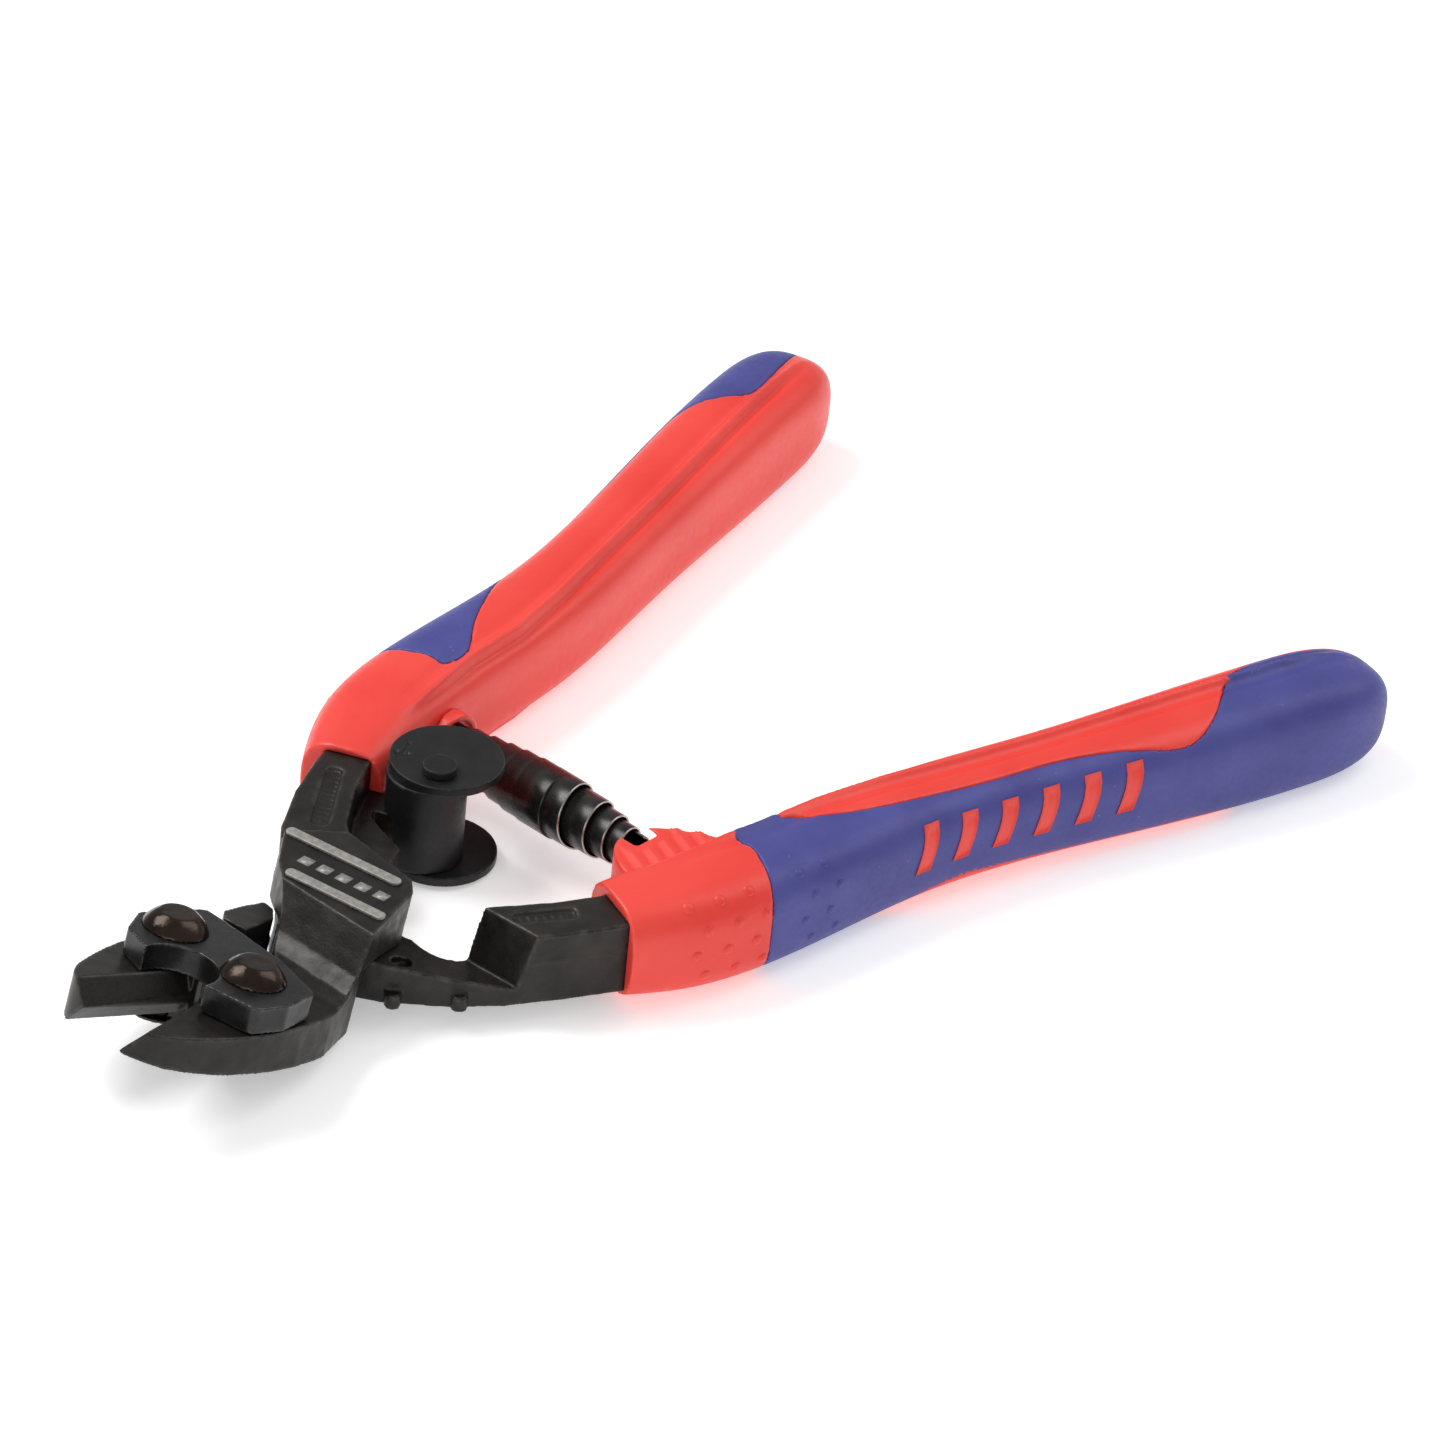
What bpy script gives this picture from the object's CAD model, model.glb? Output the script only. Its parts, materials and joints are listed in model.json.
import json
import math

import bpy
import numpy as np
from mathutils import Matrix, Vector, noise
from mathutils.bvhtree import BVHTree

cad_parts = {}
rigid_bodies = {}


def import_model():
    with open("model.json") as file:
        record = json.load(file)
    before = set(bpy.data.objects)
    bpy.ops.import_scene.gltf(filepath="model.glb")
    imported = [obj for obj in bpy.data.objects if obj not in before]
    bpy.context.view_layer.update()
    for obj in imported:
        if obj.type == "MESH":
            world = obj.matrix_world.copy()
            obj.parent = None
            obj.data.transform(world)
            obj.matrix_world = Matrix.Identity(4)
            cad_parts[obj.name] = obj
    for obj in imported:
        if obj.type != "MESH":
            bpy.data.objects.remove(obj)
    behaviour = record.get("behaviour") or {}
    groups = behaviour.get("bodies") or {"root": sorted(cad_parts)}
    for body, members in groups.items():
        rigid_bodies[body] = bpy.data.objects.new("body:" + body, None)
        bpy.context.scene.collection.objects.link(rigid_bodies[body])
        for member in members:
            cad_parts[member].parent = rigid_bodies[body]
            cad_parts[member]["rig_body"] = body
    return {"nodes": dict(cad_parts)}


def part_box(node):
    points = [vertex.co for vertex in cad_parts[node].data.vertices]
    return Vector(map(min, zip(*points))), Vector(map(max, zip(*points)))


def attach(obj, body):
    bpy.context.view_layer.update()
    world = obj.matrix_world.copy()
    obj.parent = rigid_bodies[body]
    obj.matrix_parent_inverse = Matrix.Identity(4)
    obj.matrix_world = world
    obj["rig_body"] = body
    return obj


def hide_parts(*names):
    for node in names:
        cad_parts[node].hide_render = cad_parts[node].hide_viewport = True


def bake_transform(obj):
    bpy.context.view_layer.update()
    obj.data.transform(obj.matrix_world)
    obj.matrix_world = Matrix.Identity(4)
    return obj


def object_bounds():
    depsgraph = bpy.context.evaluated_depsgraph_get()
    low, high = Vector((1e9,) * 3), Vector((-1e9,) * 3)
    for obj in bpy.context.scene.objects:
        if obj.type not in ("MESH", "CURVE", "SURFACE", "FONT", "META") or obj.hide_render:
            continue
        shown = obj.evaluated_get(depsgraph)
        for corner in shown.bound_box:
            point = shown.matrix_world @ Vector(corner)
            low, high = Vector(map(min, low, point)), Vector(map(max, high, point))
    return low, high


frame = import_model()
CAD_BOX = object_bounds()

MM = 0.001

# ---- the tool's own frame -----------------------------------------------
# X from the head to the grips, Y to the upper lever, Z up, in millimetres, with
# z = 0 in the levers' middle plane and X = 0 midway between the link bolts.
DRUM_PIN = (53.2, 9.0)
DRUM_TOP = 8.5
pin_low, pin_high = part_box("drum_pin")
ORIGIN = np.array((
    (pin_low.x + pin_high.x) / 2 / MM - DRUM_PIN[0],
    (pin_low.y + pin_high.y) / 2 / MM - DRUM_PIN[1],
    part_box("drum_flange_top")[1].z / MM - DRUM_TOP,
))
REST_PLANE = CAD_BOX[0][2] / MM - ORIGIN[2]
HEAD_TILT = math.radians(14.0)
BOLT_Y = (-7.8, 6.8)
BOLT_Z = 0.6
SPRING_X = 69.3
BLOCK_TOP = 6.8

# Middle and moulded ridge of the upper grip in plan. The lower grip has -Y.
GRIP_LINE = np.array((
    (49.4, 23.5), (60.0, 28.4), (75.0, 31.5), (100.0, 34.4), (125.0, 40.8),
    (150.0, 47.8), (164.0, 51.4), (179.6, 55.2),
))
RIDGE_LINE = np.array((
    (58.0, 23.4), (65.5, 24.8), (78.0, 27.2), (89.0, 28.4), (100.0, 30.9), (112.0, 34.4),
    (124.0, 37.8), (142.0, 42.9), (158.7, 47.6), (169.3, 50.3), (178.0, 53.0),
))

# ---- camera: place in the tool's frame, angles in degrees, lens in mm ------
CAMERA_SPOT = (-531.9, -518.9, 541.3)
CAMERA_AZIMUTH = -50.67
CAMERA_ELEVATION = 33.45
CAMERA_ROLL = 6.01
LENS = 174.4
SENSOR = 36.0

# ---- light and floor ----------------------------------------------------
WORLD_LIGHT = 0.42
FLOOR_GLOW = 0.42         # the floor's own light, so that it stays white
FLOOR_HALF = 4.0          # metres
LIGHT_AIM = (60, 0, 0)
#        name, place, size in metres, watts
LAMPS = (
    ("key", (-100, 500, 700), (0.45, 0.45), 5.0),
    ("fill", (-600, -300, 400), (0.6, 0.4), 1.2),
    ("rim", (500, -200, 500), (0.3, 0.6), 1.2),
)


def place(point):
    """A point of the tool's frame as a position in the scene."""
    return Vector([(float(c) + float(o)) * MM for c, o in zip(point, ORIGIN)])


def link(obj):
    bpy.context.scene.collection.objects.link(obj)
    return obj


def make_camera():
    data = bpy.data.cameras.new("camera")
    data.lens = LENS
    data.sensor_width = SENSOR
    data.clip_start = 0.01
    data.clip_end = 50.0
    camera = link(bpy.data.objects.new("camera", data))
    turn = (
        Matrix.Rotation(math.radians(CAMERA_AZIMUTH), 4, "Z")
        @ Matrix.Rotation(math.radians(90.0 - CAMERA_ELEVATION), 4, "X")
        @ Matrix.Rotation(math.radians(CAMERA_ROLL), 4, "Z")
    )
    camera.matrix_world = Matrix.Translation(place(CAMERA_SPOT)) @ turn
    bpy.context.scene.camera = camera


# ---- mesh helpers -------------------------------------------------------
def new_piece(name, points, faces, body, material):
    """A smooth mesh from points in the tool's frame. body may be None."""
    mesh = bpy.data.meshes.new(name)
    mesh.from_pydata([place(p) for p in points], [], faces)
    mesh.update()
    mesh.shade_smooth()
    mesh.materials.append(material)
    obj = link(bpy.data.objects.new(name, mesh))
    if body:
        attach(obj, body)
    return obj


def vertex_rows(mesh, key):
    flat = np.zeros(len(mesh.vertices) * 3)
    mesh.vertices.foreach_get(key, flat)
    return flat.reshape(-1, 3)


def write_coordinates(mesh, points):
    mesh.vertices.foreach_set("co", ((points + ORIGIN) * MM).ravel())
    mesh.update()


def neighbour_mean(points, edges, degree):
    total = np.zeros_like(points)
    np.add.at(total, edges[:, 0], points[edges[:, 1]])
    np.add.at(total, edges[:, 1], points[edges[:, 0]])
    return total / degree[:, None]


WELD = 0.001              # mm
EASE_IN, EASE_OUT = 0.5, 0.45     # each softening step in, and back out
BEND_STEPS = 3
WORN_BEND = 0.10          # bend per voxel at which an edge is fully worn


def fine_mesh(node, voxel):
    """An even, fine copy of a CAD node's mesh."""
    rough = link(bpy.data.objects.new("rough", frame["nodes"][node].data.copy()))
    rough.modifiers.new("weld", "WELD").merge_threshold = WELD * MM
    remesh = rough.modifiers.new("remesh", "REMESH")
    remesh.mode = "VOXEL"
    remesh.voxel_size = voxel * MM
    bpy.context.view_layer.update()
    evaluated = rough.evaluated_get(bpy.context.evaluated_depsgraph_get())
    mesh = bpy.data.meshes.new_from_object(evaluated)
    bpy.data.objects.remove(rough)
    return mesh


def refined(node, material, voxel, soften, shape=None):
    """Replaces a CAD node by a fine copy with eased edges and modelled detail.

    shape(points, normals) gives how far each point moves out, in millimetres.
    The attribute edge_wear is 1 on convex edges and 0 on flat ground."""
    mesh = fine_mesh(node, voxel)
    points = vertex_rows(mesh, "co") / MM - ORIGIN
    edges = np.zeros(len(mesh.edges) * 2, np.int64)
    mesh.edges.foreach_get("vertices", edges)
    edges = edges.reshape(-1, 2)
    degree = np.maximum(np.bincount(edges.ravel(), minlength=len(points)), 1).astype(float)
    for _ in range(soften):
        points = points + EASE_IN * (neighbour_mean(points, edges, degree) - points)
        points = points - EASE_OUT * (neighbour_mean(points, edges, degree) - points)
    write_coordinates(mesh, points)
    outward = vertex_rows(mesh, "normal")
    inward = points - neighbour_mean(points, edges, degree)
    bend = np.einsum("ij,ij->i", inward, outward) / voxel
    for _ in range(BEND_STEPS):
        bend = 0.5 * bend + 0.5 * neighbour_mean(bend[:, None], edges, degree)[:, 0]
    if shape is not None:
        write_coordinates(mesh, points + outward * shape(points, outward)[:, None])
    wear = mesh.attributes.new("edge_wear", "FLOAT", "POINT")
    wear.data.foreach_set("value", np.clip(bend / WORN_BEND, 0.0, 1.0))
    mesh.shade_smooth()
    mesh.materials.clear()
    mesh.materials.append(material)
    mesh.name = node + "_fine"
    obj = link(bpy.data.objects.new(node + "_fine", mesh))
    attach(obj, frame["nodes"][node]["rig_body"])
    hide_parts(node)
    return obj


# ---- materials ----------------------------------------------------------
class Nodes:
    """A short way to wire a procedural material. Sizes are in millimetres."""

    def __init__(self, name):
        self.material = bpy.data.materials.new(name)
        self.material.use_nodes = True
        self.tree = self.material.node_tree
        self.surface = self.tree.nodes["Principled BSDF"]
        self.where = self.tree.nodes.new("ShaderNodeTexCoord").outputs["Object"]
        self.height = None

    def wire(self, value, socket):
        self.tree.links.new(value, socket)

    def math(self, kind, a, b):
        node = self.tree.nodes.new("ShaderNodeMath")
        node.operation = kind
        for value, socket in zip((a, b), node.inputs):
            if isinstance(value, (int, float)):
                socket.default_value = value
            else:
                self.wire(value, socket)
        return node.outputs[0]

    def times(self, a, b):
        return self.math("MULTIPLY", a, b)

    def noise(self, size, detail=3.0, stretch=(1.0, 1.0, 1.0), seed=0.0):
        """Noise whose features are about size mm across."""
        mapping = self.tree.nodes.new("ShaderNodeMapping")
        mapping.inputs["Scale"].default_value = stretch
        mapping.inputs["Location"].default_value = (seed, seed * 0.7, seed * 0.3)
        self.wire(self.where, mapping.inputs["Vector"])
        node = self.tree.nodes.new("ShaderNodeTexNoise")
        node.inputs["Scale"].default_value = 1.0 / (size * MM)
        node.inputs["Detail"].default_value = detail
        self.wire(mapping.outputs[0], node.inputs["Vector"])
        return node.outputs["Fac"]

    def ramp(self, value, low, high, start=0.0, end=1.0):
        """value stretched from low..high to start..end, clamped."""
        node = self.tree.nodes.new("ShaderNodeMapRange")
        limits = {"From Min": low, "From Max": high, "To Min": start, "To Max": end}
        for key, number in limits.items():
            node.inputs[key].default_value = number
        self.wire(value, node.inputs["Value"])
        return node.outputs[0]

    def mix(self, factor, a, b):
        node = self.tree.nodes.new("ShaderNodeMix")
        node.data_type = "RGBA"
        self.wire(factor, node.inputs[0])
        for value, socket in ((a, node.inputs[6]), (b, node.inputs[7])):
            if isinstance(value, tuple):
                socket.default_value = (*value, 1.0)
            else:
                self.wire(value, socket)
        return node.outputs[2]

    def worn(self):
        node = self.tree.nodes.new("ShaderNodeAttribute")
        node.attribute_name = "edge_wear"
        return node.outputs["Fac"]

    def bump(self, value, depth):
        """Adds relief whose full height is depth mm."""
        node = self.tree.nodes.new("ShaderNodeBump")
        node.inputs["Distance"].default_value = depth * MM
        node.inputs["Strength"].default_value = 1.0
        self.wire(value, node.inputs["Height"])
        if self.height is not None:
            self.wire(self.height, node.inputs["Normal"])
        self.height = node.outputs[0]

    def finish(self, color, roughness=None, **fixed):
        for key, value in fixed.items():
            self.surface.inputs[key.replace("_", " ")].default_value = value
        self.wire(color, self.surface.inputs["Base Color"])
        if roughness is not None:
            self.wire(roughness, self.surface.inputs["Roughness"])
        self.wire(self.height, self.surface.inputs["Normal"])
        return self.material


RUBBED_STEEL = (0.13, 0.115, 0.10)


def black_oxide(name, dark, warm, rough, grain, wear_amount, metal, seed=0.0):
    """Oil-blackened forged steel: blotchy brown-black, fine scale, rubbed edges."""
    n = Nodes(name)
    blotch = n.ramp(n.noise(5.0, 4.0, seed=seed), 0.35, 0.68)
    fine = n.noise(0.35, 4.0, seed=seed + 1.0)
    color = n.mix(blotch, dark, warm)
    patchy = n.ramp(n.noise(1.4, 4.0, seed=seed + 2.0), 0.35, 0.7)
    wear = n.times(n.times(n.worn(), patchy), wear_amount)
    color = n.mix(wear, color, RUBBED_STEEL)
    base = n.ramp(n.noise(2.2, 3.0, seed=seed + 3.0), 0.3, 0.7, rough - 0.08, rough + 0.08)
    shine = n.math("SUBTRACT", base, n.times(wear, 0.15))
    n.bump(fine, grain)
    n.bump(n.noise(1.6, 3.0, seed=seed + 4.0), grain * 2.0)
    return n.finish(color, shine, Metallic=metal)


def ground_scratches(name, dark, light, rough, along, metal, seed=0.0):
    """Steel with the fine parallel marks of grinding."""
    n = Nodes(name)
    lines = n.noise(0.12, 3.0, along, seed=seed)
    patch = n.ramp(n.noise(3.0, 3.0, seed=seed + 1.0), 0.35, 0.7)
    color = n.mix(n.ramp(lines, 0.35, 0.75), dark, light)
    color = n.mix(n.times(n.worn(), patch), color, tuple(c * 2.4 for c in light))
    shine = n.ramp(lines, 0.3, 0.7, rough - 0.06, rough + 0.1)
    n.bump(lines, 0.01)
    n.bump(n.noise(0.5, 3.0, seed=seed + 2.0), 0.012)
    return n.finish(color, shine, Metallic=metal)


def red_plastic(name):
    n = Nodes(name)
    cloud = n.ramp(n.noise(18.0, 3.0), 0.3, 0.7)
    color = n.mix(cloud, (0.80, 0.04, 0.028), (0.87, 0.06, 0.042))
    rub = n.times(n.worn(), n.ramp(n.noise(1.8, 3.0), 0.4, 0.75))
    color = n.mix(n.times(rub, 0.35), color, (0.92, 0.15, 0.12))
    shine = n.ramp(n.noise(1.1, 4.0), 0.3, 0.7, 0.34, 0.46)
    n.bump(n.noise(0.28, 3.0), 0.014)
    n.bump(n.noise(2.5, 2.0), 0.03)
    return n.finish(color, shine, Subsurface_Weight=0.04, Specular_IOR_Level=0.45)


def blue_rubber(name):
    """Soft rubber with a little pale dust."""
    n = Nodes(name)
    cloud = n.ramp(n.noise(9.0, 4.0), 0.32, 0.7)
    color = n.mix(cloud, (0.05, 0.052, 0.24), (0.07, 0.074, 0.30))
    dust = n.ramp(n.noise(0.55, 2.0, seed=3.0), 0.71, 0.76)
    dust = n.times(dust, n.ramp(n.noise(6.0, 2.0, seed=5.0), 0.5, 0.65))
    color = n.mix(n.times(dust, 0.4), color, (0.36, 0.36, 0.6))
    shine = n.ramp(n.noise(0.8, 4.0), 0.3, 0.7, 0.42, 0.56)
    n.bump(n.noise(0.22, 3.0), 0.02)
    n.bump(n.noise(1.5, 2.0), 0.03)
    return n.finish(color, shine, Specular_IOR_Level=0.4)


def black_plastic(name):
    n = Nodes(name)
    cloud = n.ramp(n.noise(4.0, 3.0), 0.3, 0.7)
    color = n.mix(cloud, (0.007, 0.007, 0.008), (0.014, 0.0135, 0.014))
    rub = n.times(n.worn(), n.ramp(n.noise(1.2, 3.0), 0.4, 0.7))
    color = n.mix(rub, color, (0.035, 0.035, 0.037))
    shine = n.ramp(n.noise(0.7, 4.0), 0.3, 0.7, 0.3, 0.46)
    n.bump(n.noise(0.2, 3.0), 0.012)
    return n.finish(color, shine, Specular_IOR_Level=0.28)


def spring_strip(name):
    """Blued strip: dark face, bright sheared edge (attribute edge_wear)."""
    n = Nodes(name)
    lines = n.noise(0.1, 3.0, (1.0, 0.12, 1.0))
    cloud = n.ramp(n.noise(3.0, 3.0), 0.3, 0.7)
    color = n.mix(cloud, (0.022, 0.022, 0.022), (0.05, 0.048, 0.045))
    color = n.mix(n.worn(), color, (0.5, 0.48, 0.45))
    shine = n.ramp(lines, 0.3, 0.7, 0.24, 0.36)
    n.bump(lines, 0.006)
    return n.finish(color, shine, Metallic=0.8)


def bare_bar(name):
    """Dull silver, as on the bars of the crossing block."""
    n = Nodes(name)
    cloud = n.ramp(n.noise(0.8, 4.0), 0.3, 0.72)
    color = n.mix(cloud, (0.25, 0.235, 0.22), (0.38, 0.365, 0.345))
    shine = n.ramp(n.noise(0.4, 3.0), 0.3, 0.7, 0.38, 0.55)
    n.bump(n.noise(0.16, 3.0), 0.02)
    return n.finish(color, shine, Metallic=0.35)


# ---- detail of the refined pieces: heights in mm for every point ---------
def bell(distance, width):
    return np.exp(-((distance / width) ** 2))


def rough_cast(points, size, depth, seed):
    """Uneven forged skin."""
    scaled = points / size + seed
    return depth * np.array([noise.noise(Vector(p)) for p in scaled])


def from_line(points, start, end):
    """Along and across distances in plan from the line start-end."""
    start, end = np.array(start), np.array(end)
    run = (end - start) / np.linalg.norm(end - start)
    offset = points[:, :2] - start
    return offset @ run, offset @ np.array((-run[1], run[0]))


def flat_up(outward):
    """1 where the surface faces up, 0 on its sides."""
    return np.clip((outward[:, 2] - 0.7) / 0.2, 0.0, 1.0)


RECESS_RIB_PITCH = 1.1
RECESS_Z = 4.6            # both recesses lie above this height


def recess_ribs(points, outward, line, ends, half_width, rise):
    """Plain cross ribs in the bottom of a recess that runs along the line."""
    along, across = from_line(points, *line)
    inside = (along > ends[0]) & (along < ends[1]) & (np.abs(across) < half_width)
    inside &= points[:, 2] > RECESS_Z
    wave = 0.5 + 0.5 * np.sin(along * 2 * math.pi / RECESS_RIB_PITCH)
    return rise * inside * flat_up(outward) * wave


def lever_a_detail(points, outward):
    recess = ((35.1, 13.9), (46.4, 22.0))
    skin = rough_cast(points, 1.6, 0.05, 3.0)
    return skin + recess_ribs(points, outward, recess, (1.4, 12.4), 1.0, 0.16)


def lever_b_detail(points, outward):
    """Cast skin, recess ribs, the forging seam and the rib on the thin part."""
    recess, rib_line = ((39.4, -18.5), (46.9, -23.1)), ((29.6, -8.6), (33.0, -15.8))
    rib_length, rib_fade, seam_z = 7.8, 5.0, 1.2
    height = rough_cast(points, 1.6, 0.06, 9.0)
    height += recess_ribs(points, outward, recess, (1.0, 7.8), 0.7, 0.14)
    seam = bell(points[:, 2] - seam_z, 0.35) * np.clip(-outward[:, 1], 0, 1)
    along, across = from_line(points, *rib_line)
    on_rib = (along > 0.0) & (along < rib_length) & (points[:, 2] > 0.0)
    rib = bell(across, 0.4) * on_rib * flat_up(outward)
    return height + 0.12 * seam + 0.8 * rib * np.clip((rib_length - along) / rib_fade, 0.0, 1.0)


def jaw_detail(points, outward):
    return rough_cast(points, 2.0, 0.03, 5.0)


def line_at(line, x):
    return np.interp(x, line[:, 0], line[:, 1])


def grip_detail(side):
    """The moulded ridge along a grip's top and bottom, and its dished inner side."""
    start, start_fade, end, end_fade = 60.0, 14.0, 176.0, 12.0

    def shape(points, outward):
        x, y, z = points[:, 0], points[:, 1] * side, points[:, 2]
        across = y - line_at(RIDGE_LINE, x)
        upright = np.clip(np.abs(outward[:, 2]) / 0.35, 0.0, 1.0)
        fade = np.clip((x - start) / start_fade, 0, 1) * np.clip((end - x) / end_fade, 0, 1)
        ridge = 0.85 * bell(across, 0.6)
        grooves = 0.35 * bell(across - 1.9, 0.9), 0.45 * bell(across + 1.3, 0.6)
        ridge = ridge - grooves[0] - grooves[1]
        inner = np.clip(-outward[:, 1] * side, 0.0, 1.0) * bell(z, 4.0)
        height = ridge * upright * fade - 0.55 * inner * fade
        # underneath, the ridge stops at the plane on which the tool lies
        below = np.maximum(-outward[:, 2], 0.001)
        room = np.where(outward[:, 2] < 0.0, (z - REST_PLANE) / below, 10.0)
        return np.minimum(height, np.maximum(room, 0.0))

    return shape


def hood_detail(points, outward):
    """Pointed ribs across the top of the spring hood, away from its bore."""
    pitch, bore_half, bore_end = 2.7, 3.2, -16.2
    along, _ = from_line(points, (63.0, -14.8), (77.4, -20.4))
    rib = np.abs((along / pitch) % 1.0 - 0.5) * 2.0
    clear = np.clip((np.abs(points[:, 0] - SPRING_X) - bore_half) / 0.8, 0.0, 1.0)
    behind = np.clip((bore_end - points[:, 1]) / 0.8, 0.0, 1.0)
    return (0.5 * rib - 0.1) * flat_up(outward) * np.maximum(clear, behind)


def drum_disc_detail(points, outward):
    """A sunk arrow near the rim of the drum's upper disc."""
    along, off = from_line(points, (51.3, 15.2), (55.6, 17.0))
    shaft = (along > 0.8) & (along < 4.4) & (np.abs(off) < 0.32)
    head = (along > -0.2) & (along < 1.7) & (np.abs(off) < 0.1 + 0.62 * (along + 0.2))
    return -0.3 * (shaft | head) * flat_up(outward)


def bolt_detail(points, outward):
    """A pressed flat on the crown of each domed bolt head, with a dimple beside it."""
    flat_height, reach = 9.45, 6.0
    crown = np.array((math.sin(HEAD_TILT), 0.0, math.cos(HEAD_TILT)))
    dimple = np.array((-1.9, 1.1, 0.0)) + 9.2 * crown
    dent = np.zeros(len(points))
    for y in BOLT_Y:
        offset = points - np.array((0.0, y, BOLT_Z))
        near = np.abs(offset[:, 1]) < reach
        dent -= np.clip(offset @ crown - flat_height, 0.0, 1.0) * near
        dent -= 0.3 * bell(np.linalg.norm(offset - dimple, axis=1), 0.6)
    return dent


# ---- pieces built here --------------------------------------------------
#        turn, radius, free edge towards the lower grip
SPRING_TURNS = np.array((
    (0, 2.95, 16.6), (1, 3.35, 13.4), (2, 3.75, 10.2), (3, 4.1, 7.2), (4, 4.4, 4.4),
    (5, 4.62, 1.4), (6, 4.66, -1.6), (7, 4.12, -6.2), (8, 3.5, -9.4), (9, 2.95, -12.0),
    (10, 2.5, -14.0),
))
#        place across the strip, inner (0) or outer (1) face, part of the bright edge
STRIP_PROFILE = (
    (0.0, 0.0, 1), (0.0, 1.0, 1), (0.05, 1.0, 0), (1.0, 1.0, 0), (1.0, 0.0, 0), (0.05, 0.0, 0),
)
STRIP_WIDTH, STRIP_THICK = 5.2, 0.28
STRIP_STEPS = 64          # in each turn
STRIP_START = 1.2         # radians
BRIGHT_FROM = 5.4         # the free edges show from this turn on


def volute(material):
    """The double-cone strip spring. Its widest turn is in the middle."""
    points, faces, wear, share = [], [], [], []
    last = SPRING_TURNS[-1, 0]
    count = int(last * STRIP_STEPS) + 1
    for step in range(count):
        turn = step / STRIP_STEPS
        radius = np.interp(turn, SPRING_TURNS[:, 0], SPRING_TURNS[:, 1])
        free = np.interp(turn, SPRING_TURNS[:, 0], SPRING_TURNS[:, 2])
        angle = 2 * math.pi * turn + STRIP_START
        for up, out, bright in STRIP_PROFILE:
            r = radius - STRIP_THICK * (1 - out)
            y = free + STRIP_WIDTH * up
            points.append((SPRING_X + r * math.cos(angle), y, r * math.sin(angle)))
            wear.append(bright * float(np.clip((turn - BRIGHT_FROM) / 0.5, 0.0, 1.0)))
            share.append(turn / last)
    ring = len(STRIP_PROFILE)
    for step in range(count - 1):
        for k in range(ring):
            a, b = step * ring + k, step * ring + (k + 1) % ring
            faces.append((a, b, b + ring, a + ring))
    faces.append(tuple(range(ring))[::-1])
    faces.append(tuple((count - 1) * ring + k for k in range(ring)))
    obj = new_piece("volute_strip", points, faces, None, material)
    mark = obj.data.attributes.new("edge_wear", "FLOAT", "POINT")
    mark.data.foreach_set("value", wear)
    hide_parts("volute_spring")
    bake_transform(obj)


def surface_of(obj):
    bpy.context.view_layer.update()
    return BVHTree.FromObject(obj, bpy.context.evaluated_depsgraph_get())


def on_surface(trees, source, target):
    """The first spot and normal where a ray from source to target meets a tree."""
    start, end = place(source), place(target)
    best = None
    for tree in trees:
        hit, normal, _, distance = tree.ray_cast(start, (end - start).normalized())
        if hit is not None and (best is None or distance < best[2]):
            best = (np.array(hit) / MM - ORIGIN, np.array(normal), distance)
    return best


OUTSIDE = 40.0            # well outside either grip


def outer_ray(side, x, angle):
    """A ray to the grip's middle from its outer side, angle degrees from level."""
    y = line_at(GRIP_LINE, x) * side
    tilt = -side * math.radians(angle)
    source = (x, y + side * OUTSIDE * math.cos(tilt), OUTSIDE * math.sin(tilt))
    return source, (x, y, 0.0)


def stud_rays(side, columns, x0):
    """A staggered grid of rays towards the grip's outer side."""
    rows, pitch, stagger, top_angle, row_angle = 4, 4.5, 1.6, 48.0, 24.0
    return [
        outer_ray(side, x0 + pitch * column + stagger * (row % 2), top_angle - row_angle * row)
        for row in range(rows)
        for column in range(columns)
    ]


def studs(name, rays, trees, body, material, radius, rise):
    """Low round studs moulded on a grip, one where each ray meets it."""
    rings, around, sunk = 4, 12, 0.06
    points, faces = [], []
    for source, target in rays:
        hit = on_surface(trees, source, target)
        if hit is None:
            continue
        centre, out, _ = hit
        side = np.cross(out, (0.3, 0.2, 0.9))
        side /= np.linalg.norm(side)
        other = np.cross(out, side)
        first = len(points)
        points.append(centre + out * rise)
        for ring in range(1, rings + 1):
            tilt = ring / rings * math.pi / 2
            for k in range(around):
                turn = 2 * math.pi * k / around
                flat = side * math.cos(turn) + other * math.sin(turn)
                lift = out * (rise * math.cos(tilt) - sunk)
                points.append(centre + flat * radius * math.sin(tilt) + lift)
        for k in range(around):
            nxt = (k + 1) % around
            faces.append((first, first + 1 + k, first + 1 + nxt))
            for ring in range(rings - 1):
                base = first + 1 + ring * around
                faces.append((base + k, base + around + k, base + around + nxt, base + nxt))
    new_piece(name, points, faces, body, material)


def block_dashes(material):
    """A plain row of dashes between the two bars on the crossing block."""
    count, start, step = 5, np.array((26.2, 7.2)), np.array((0.5, -3.05))
    run, side = np.array((0.16, -0.99)) * 0.95, np.array((0.99, 0.16)) * 0.38
    slant, sunk, rise = np.array((0.4, 0.0)), 0.2, 0.12
    points, faces = [], []
    for mark in range(count):
        middle = start + mark * step
        first = len(points)
        for z in (BLOCK_TOP - sunk, BLOCK_TOP + rise):
            for a, b in ((-1, -1), (1, -1), (1, 1), (-1, 1)):
                spot = middle + a * run + b * side + slant * b
                points.append((spot[0], spot[1], z))
        faces.append((first + 4, first + 5, first + 6, first + 7))
        for k in range(4):
            nxt = (k + 1) % 4
            faces.append((first + k, first + nxt, first + 4 + nxt, first + 4 + k))
    new_piece("block_dashes", points, faces, "lever_a", material)


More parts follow.
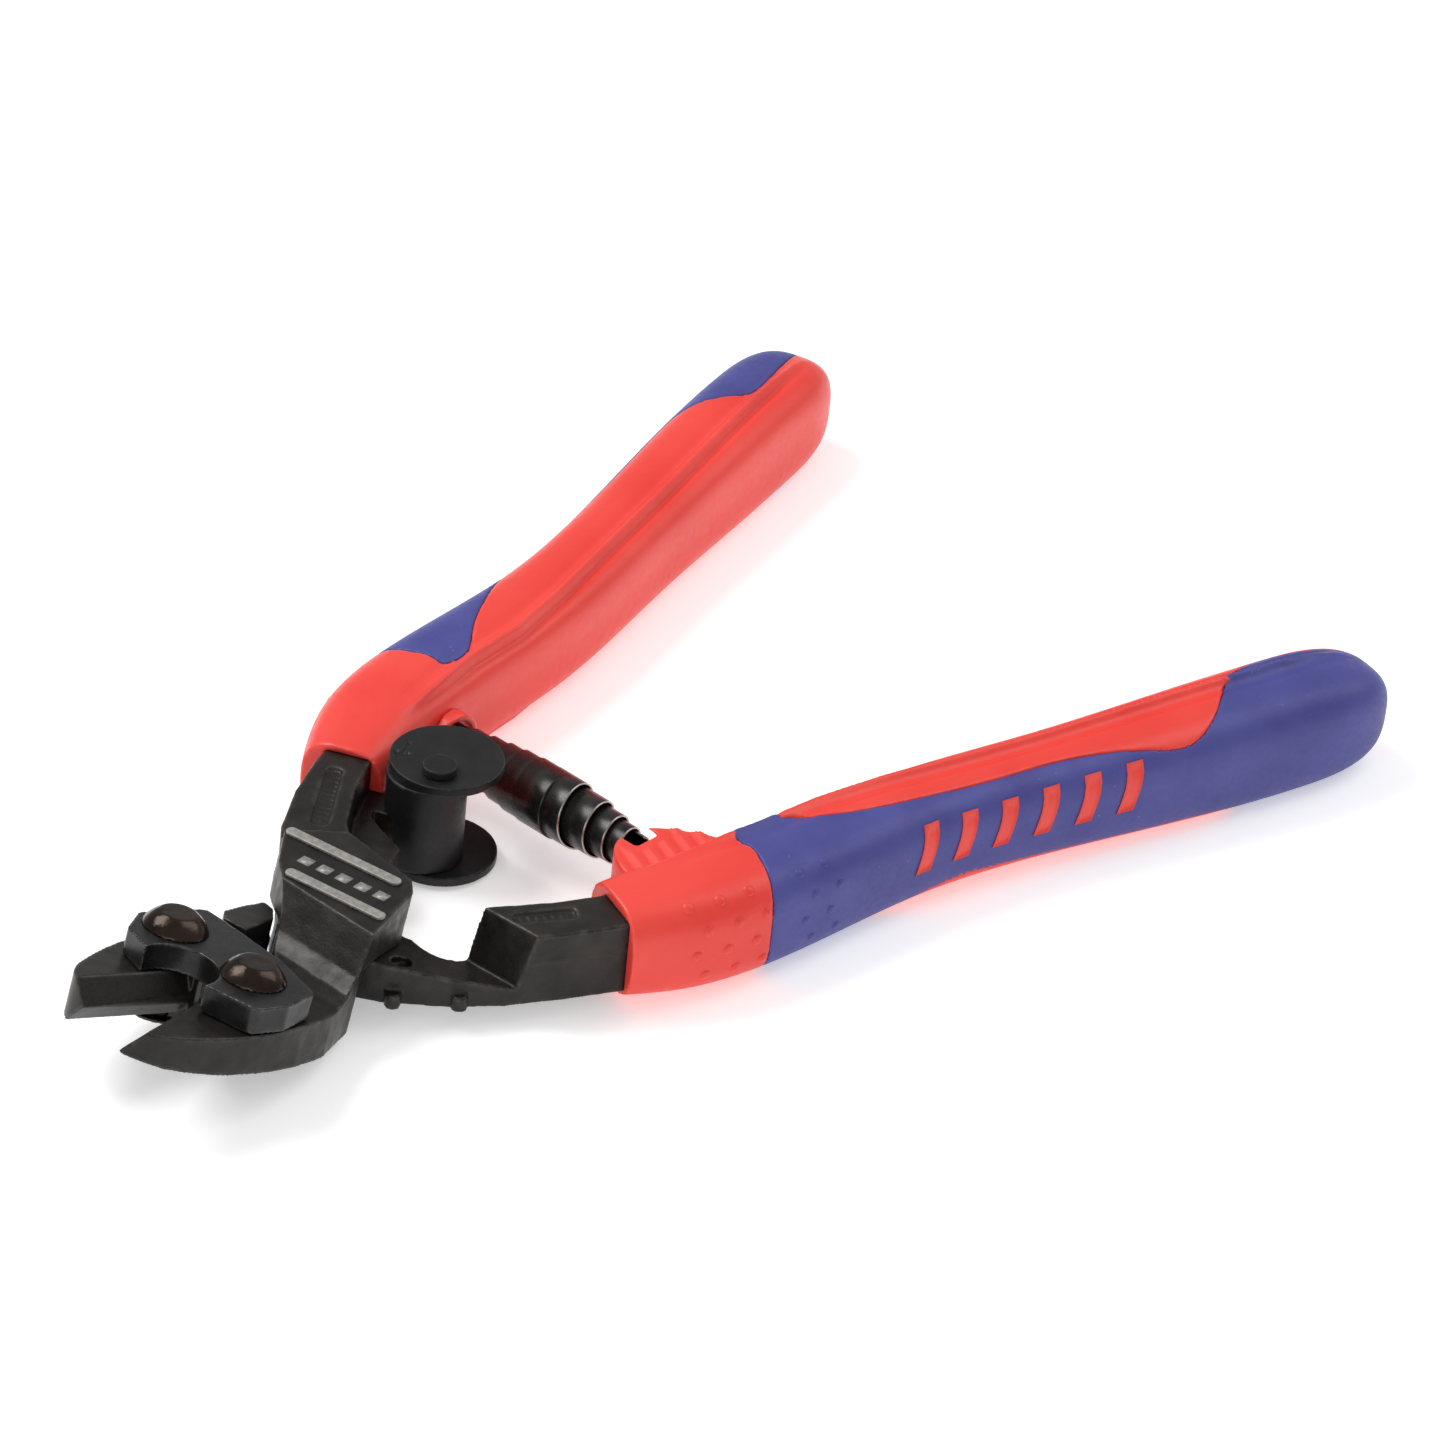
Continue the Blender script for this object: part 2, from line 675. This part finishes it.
def slanted_marks(name, side, trees, body, material):
    """A plain row of slanted bars inlaid in the soft panel."""
    marks, start, pitch, width, slant = 6, 96.0, 6.6, 2.6, 0.35
    low, tall, level, spread = -1.0, 5.6, 2.0, 9.0     # heights, and the angle for each
    rise, sunk = 0.16, 0.3
    across, along = 5, 3
    wide = along + 1
    points, faces = [], []
    for mark in range(marks):
        first = len(points)
        grid = []
        for i in range(across + 1):
            for k in range(along + 1):
                height = low + tall * i / across
                x = start + pitch * mark + width * k / along + slant * height
                hit = on_surface(trees, *outer_ray(side, x, level + height * spread))
                grid.append((hit[0], hit[1]))
        points += [spot + out * rise for spot, out in grid]
        points += [spot - out * sunk for spot, out in grid]
        size = len(grid)
        for i in range(across):
            for k in range(along):
                a = first + i * wide + k
                faces.append((a, a + 1, a + wide + 1, a + wide))
        rim = list(range(wide)) + [i * wide + along for i in range(1, across + 1)]
        rim += [across * wide + k for k in range(along - 1, -1, -1)]
        rim += [i * wide for i in range(across - 1, 0, -1)]
        for a, b in zip(rim, rim[1:] + rim[:1]):
            faces.append((first + a, first + b, first + size + b, first + size + a))
    new_piece(name, points, faces, body, material)


# ---- stage and light ----------------------------------------------------
def make_stage():
    low, half = CAD_BOX[0][2], FLOOR_HALF
    mesh = bpy.data.meshes.new("floor")
    corners = [(-half, -half, low), (half, -half, low), (half, half, low), (-half, half, low)]
    mesh.from_pydata(corners, [], [(0, 1, 2, 3)])
    n = Nodes("floor_paper")
    n.bump(n.noise(1.5, 3.0), 0.02)
    tone = n.mix(n.noise(60.0, 2.0), (0.9, 0.9, 0.9), (0.92, 0.92, 0.92))
    n.wire(tone, n.surface.inputs["Emission Color"])
    mesh.materials.append(n.finish(tone, Roughness=0.85, Emission_Strength=FLOOR_GLOW))
    link(bpy.data.objects.new("floor", mesh))


def soft_light(name, spot, size, power):
    data = bpy.data.lights.new(name, "AREA")
    data.shape = "RECTANGLE"
    data.size, data.size_y = size
    data.energy = power
    lamp = link(bpy.data.objects.new(name, data))
    lamp.location = place(spot)
    aim = place(LIGHT_AIM) - place(spot)
    lamp.rotation_euler = aim.to_track_quat("-Z", "Y").to_euler()


def make_light():
    world = bpy.data.worlds.new("studio")
    bpy.context.scene.world = world
    world.use_nodes = True
    background = world.node_tree.nodes["Background"]
    background.inputs["Color"].default_value = (1.0, 1.0, 1.0, 1.0)
    background.inputs["Strength"].default_value = WORLD_LIGHT
    for lamp in LAMPS:
        soft_light(*lamp)
    bpy.context.scene.view_settings.view_transform = "Standard"


# ---- the whole scene ----------------------------------------------------
make_camera()
make_stage()
make_light()

forged = black_oxide(
    "forged_steel", (0.010, 0.009, 0.008), (0.025, 0.020, 0.017),
    rough=0.42, grain=0.035, wear_amount=0.45, metal=0.45,
)
jaw_steel = ground_scratches(
    "jaw_steel", (0.015, 0.0145, 0.014), (0.042, 0.038, 0.035),
    rough=0.36, along=(1.0, 0.1, 1.0), metal=0.6,
)
plate_steel = black_oxide(
    "plate_steel", (0.010, 0.010, 0.011), (0.022, 0.021, 0.021),
    rough=0.28, grain=0.012, wear_amount=0.6, metal=0.5, seed=4.0,
)
bolt_steel = black_oxide(
    "bolt_steel", (0.020, 0.013, 0.010), (0.045, 0.028, 0.020),
    rough=0.17, grain=0.02, wear_amount=0.3, metal=0.8, seed=7.0,
)
pin_steel = ground_scratches(
    "pin_steel", (0.12, 0.12, 0.12), (0.25, 0.25, 0.25),
    rough=0.3, along=(1.0, 1.0, 0.1), metal=0.85, seed=2.0,
)
red, blue = red_plastic("red_plastic"), blue_rubber("blue_rubber")
black = black_plastic("black_plastic")

refined("lever_a_forging", forged, 0.22, 3, lever_a_detail)
refined("lever_b_forging", forged, 0.22, 3, lever_b_detail)
refined("moving_jaw", jaw_steel, 0.2, 2, jaw_detail)
for plate in ("link_plate_top", "link_plate_bottom"):
    refined(plate, plate_steel, 0.2, 3)
refined("link_bolts", bolt_steel, 0.16, 3, bolt_detail)
refined("link_nuts", bolt_steel, 0.2, 2)
bar_silver = bare_bar("bar_silver")
refined("block_bars", bar_silver, 0.1, 4)
block_dashes(bar_silver)
refined("pivot_pin", pin_steel, 0.2, 2)
refined("drum_pin", black, 0.15, 2)
refined("drum_barrel", black, 0.2, 2)
refined("drum_flange_top", black, 0.12, 3, drum_disc_detail)
refined("drum_flange_bottom", black, 0.16, 3)
refined("spring_seat_a", red, 0.25, 3)
refined("spring_hood_b", red, 0.25, 4, hood_detail)
for letter, side in (("a", 1), ("b", -1)):
    body = "lever_" + letter
    sleeve = refined("grip_" + letter + "_sleeve", red, 0.27, 9, grip_detail(side))
    panel = refined("grip_" + letter + "_panel", blue, 0.27, 9, grip_detail(side))
    skin, soft = [surface_of(sleeve)], [surface_of(panel)]
    collar, fore = stud_rays(side, 3, 57.7), stud_rays(side, 2, 75.2)
    studs("collar_studs_" + letter, collar, skin, body, red, 0.85, 0.36)
    studs("panel_studs_" + letter, fore, soft, body, blue, 0.7, 0.34)
    slanted_marks("panel_marks_" + letter, side, soft + skin, body, red)
volute(spring_strip("spring_strip"))
